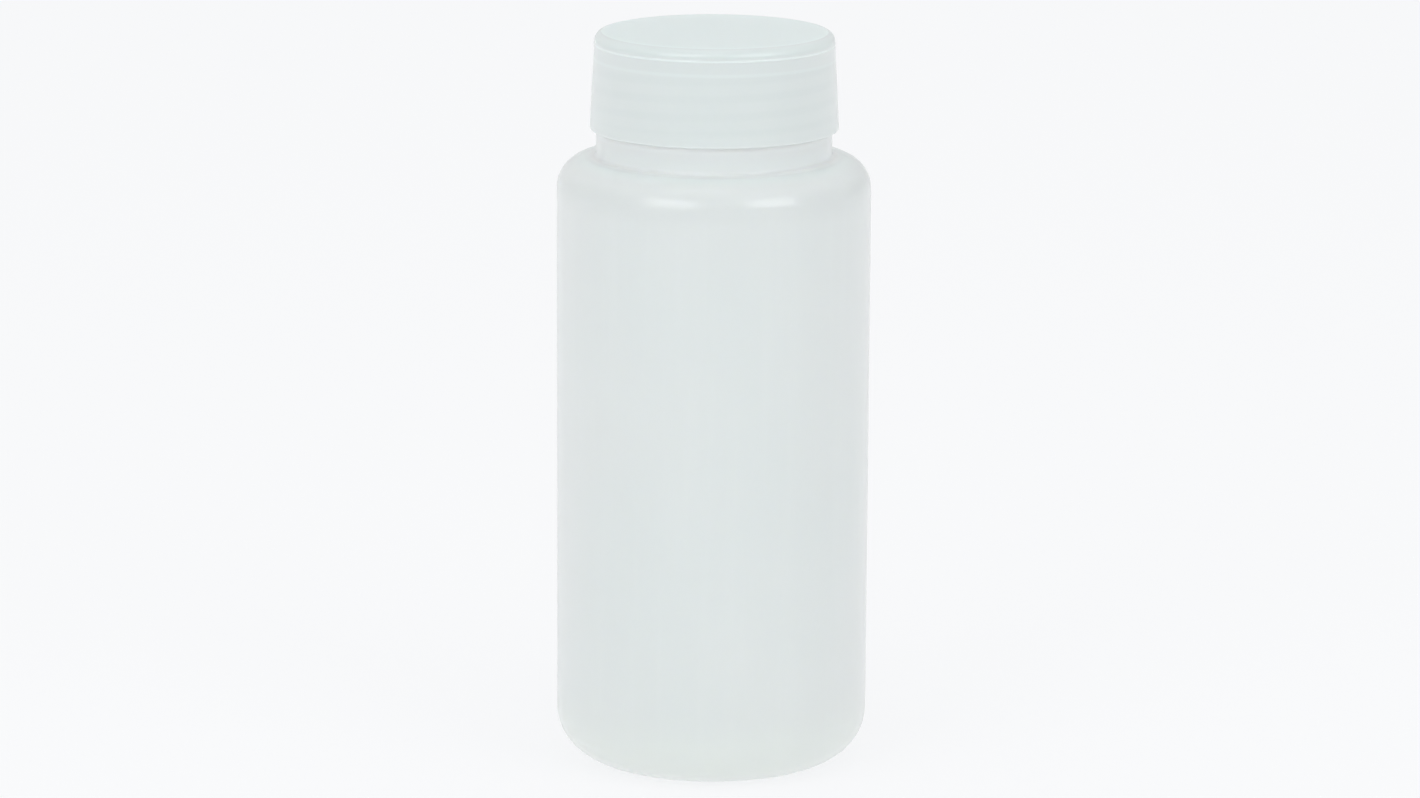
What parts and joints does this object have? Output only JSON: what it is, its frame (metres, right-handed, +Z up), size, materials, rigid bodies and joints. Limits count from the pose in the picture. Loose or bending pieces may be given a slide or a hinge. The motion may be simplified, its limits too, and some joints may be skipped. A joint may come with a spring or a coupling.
{
  "type": "reagent bottle",
  "caption": "Wide-mouth translucent plastic reagent bottle with a rounded shoulder, a recessed base and a smooth screw cap with a foam seal that unscrews upwards.",
  "frame": {"origin": "centre of the base, on the surface the bottle stands on", "axes": "+Z up along the bottle's axis, -Y towards the viewer of the picture"},
  "size_m": [0.072, 0.072, 0.17],
  "materials": {
    "bottle_plastic": "natural translucent polyolefin, satin",
    "cap_plastic": "natural translucent polyolefin, semi-gloss",
    "liner_foam": "closed-cell foam, matt"
  },
  "bodies": {
    "bottle": {"bottle": "bottle_plastic"},
    "cap_liner": {"cap_liner": "liner_foam"},
    "screw_cap": {"screw_cap": "cap_plastic"}
  },
  "joints": [
    {"name": "cap_rise", "type": "slide", "parent": "bottle", "child": "cap_liner", "axis": [0, 0, 1], "range_m": [0, 0.02]},
    {"name": "cap_turn", "type": "hinge", "parent": "cap_liner", "child": "screw_cap", "pos_m": [0, 0, 0.1685], "axis": [0, 0, 1], "range_deg": [0, 1800]}
  ],
  "couplings": [
    {"joint": "cap_rise", "follows": "cap_turn", "m_per_rad": 0.00063661}
  ]
}
